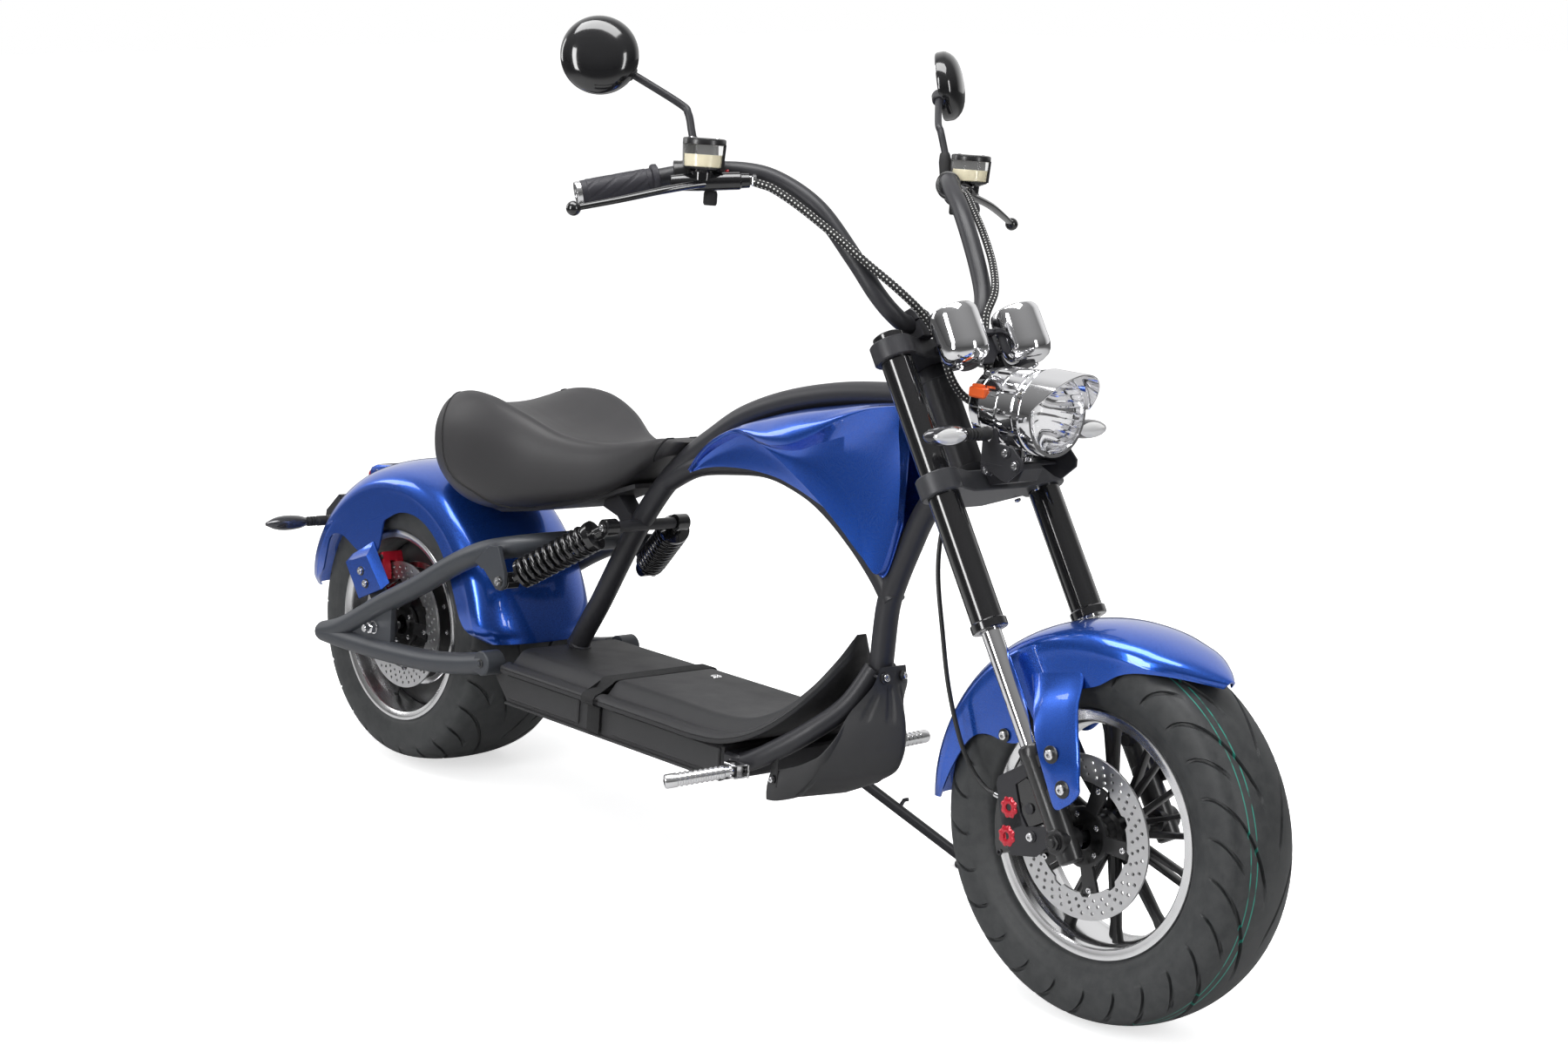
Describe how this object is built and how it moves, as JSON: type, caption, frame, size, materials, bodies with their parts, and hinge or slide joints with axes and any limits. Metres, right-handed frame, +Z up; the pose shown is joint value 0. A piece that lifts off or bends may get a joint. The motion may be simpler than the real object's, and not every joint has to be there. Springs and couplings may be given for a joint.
{
  "type": "electric chopper scooter",
  "caption": "Low electric chopper scooter leaning on its side stand: raked fork, high bars, spine frame, saddle, wide tyres and a hub motor.",
  "frame": {"origin": "on the ground, under the middle of the bounding box", "axes": "+X the way it rides, +Y to the rider's left, +Z up; the scooter leans 5.5 degrees to its left on the side stand"},
  "size_m": [2.0576, 0.886, 1.2845],
  "materials": {
    "satin_black": "satin black powder coat",
    "gloss_black": "gloss black",
    "dark_grey": "satin dark grey powder coat",
    "plastic_grey": "matt moulded plastic",
    "blue": "metallic blue paint under clear coat",
    "chrome": "polished chrome",
    "silver": "polished aluminium",
    "steel": "brushed",
    "rubber": "matt moulded rubber",
    "tyre": "road tread",
    "leather": "black synthetic leather",
    "lens": "clear",
    "red": "red"
  },
  "bodies": {
    "chassis": {"battery_box": "plastic_grey", "belly_pan": "plastic_grey", "deck_mat": "rubber", "deck_strap": "satin_black", "foot_peg_left": "steel", "foot_peg_right": "steel", "frame": "satin_black", "rear_axle": "steel", "rear_bracket_left": "blue", "rear_bracket_right": "blue", "rear_caliper": "red", "rear_fender": "blue", "rear_signal_left": "gloss_black", "rear_signal_right": "gloss_black", "seat": "leather", "shock_left": "gloss_black", "shock_right": "gloss_black", "swing_arm": "dark_grey", "tail_bracket": "satin_black", "tail_light": "red", "tail_pod": "blue", "tank_panel_left": "blue", "tank_panel_right": "blue"},
    "steering": {"brake_control_left": "satin_black", "brake_control_right": "satin_black", "brake_hose": "rubber", "fork_foot_left": "satin_black", "fork_foot_right": "satin_black", "fork_inner_left": "chrome", "fork_inner_right": "chrome", "fork_outer_left": "gloss_black", "fork_outer_right": "gloss_black", "front_axle": "steel", "front_caliper": "gloss_black", "front_fender": "blue", "front_signal_left": "gloss_black", "front_signal_right": "gloss_black", "grip_left": "rubber", "grip_right": "rubber", "handlebar": "satin_black", "headlight": "chrome", "headlight_lens": "lens", "instrument_pods": "chrome", "lamp_bracket": "satin_black", "loom_left": "rubber", "loom_right": "rubber", "lower_clamp": "dark_grey", "mirror_left": "gloss_black", "mirror_right": "gloss_black", "upper_clamp": "satin_black"},
    "front_wheel": {"front_tyre": "tyre", "front_rim": "silver", "front_spokes": "gloss_black", "front_disc": "steel"},
    "rear_wheel": {"rear_tyre": "tyre", "rear_rim": "silver", "hub_motor": "satin_black", "rear_disc": "steel"},
    "side_stand": {"side_stand": "satin_black"}
  },
  "joints": [
    {"name": "steering", "type": "hinge", "parent": "chassis", "child": "steering", "pos_m": [0.75029, -0.07293, 0.23596], "axis": [-0.535, 0.0809, 0.841], "range_deg": [-38, 38]},
    {"name": "front_wheel", "type": "hinge", "parent": "steering", "child": "front_wheel", "pos_m": [0.77564, -0.07139, 0.25194], "axis": [-0.0001, 0.9954, -0.0958], "continuous": true},
    {"name": "rear_wheel", "type": "hinge", "parent": "chassis", "child": "rear_wheel", "pos_m": [-0.72037, -0.0728, 0.23873], "axis": [-0.0001, 0.9954, -0.0958], "continuous": true},
    {"name": "side_stand", "type": "hinge", "parent": "chassis", "child": "side_stand", "pos_m": [0.16754, 0.02598, 0.15363], "axis": [-0.1835, 0.9481, 0.2597], "range_deg": [0, 100]}
  ]
}
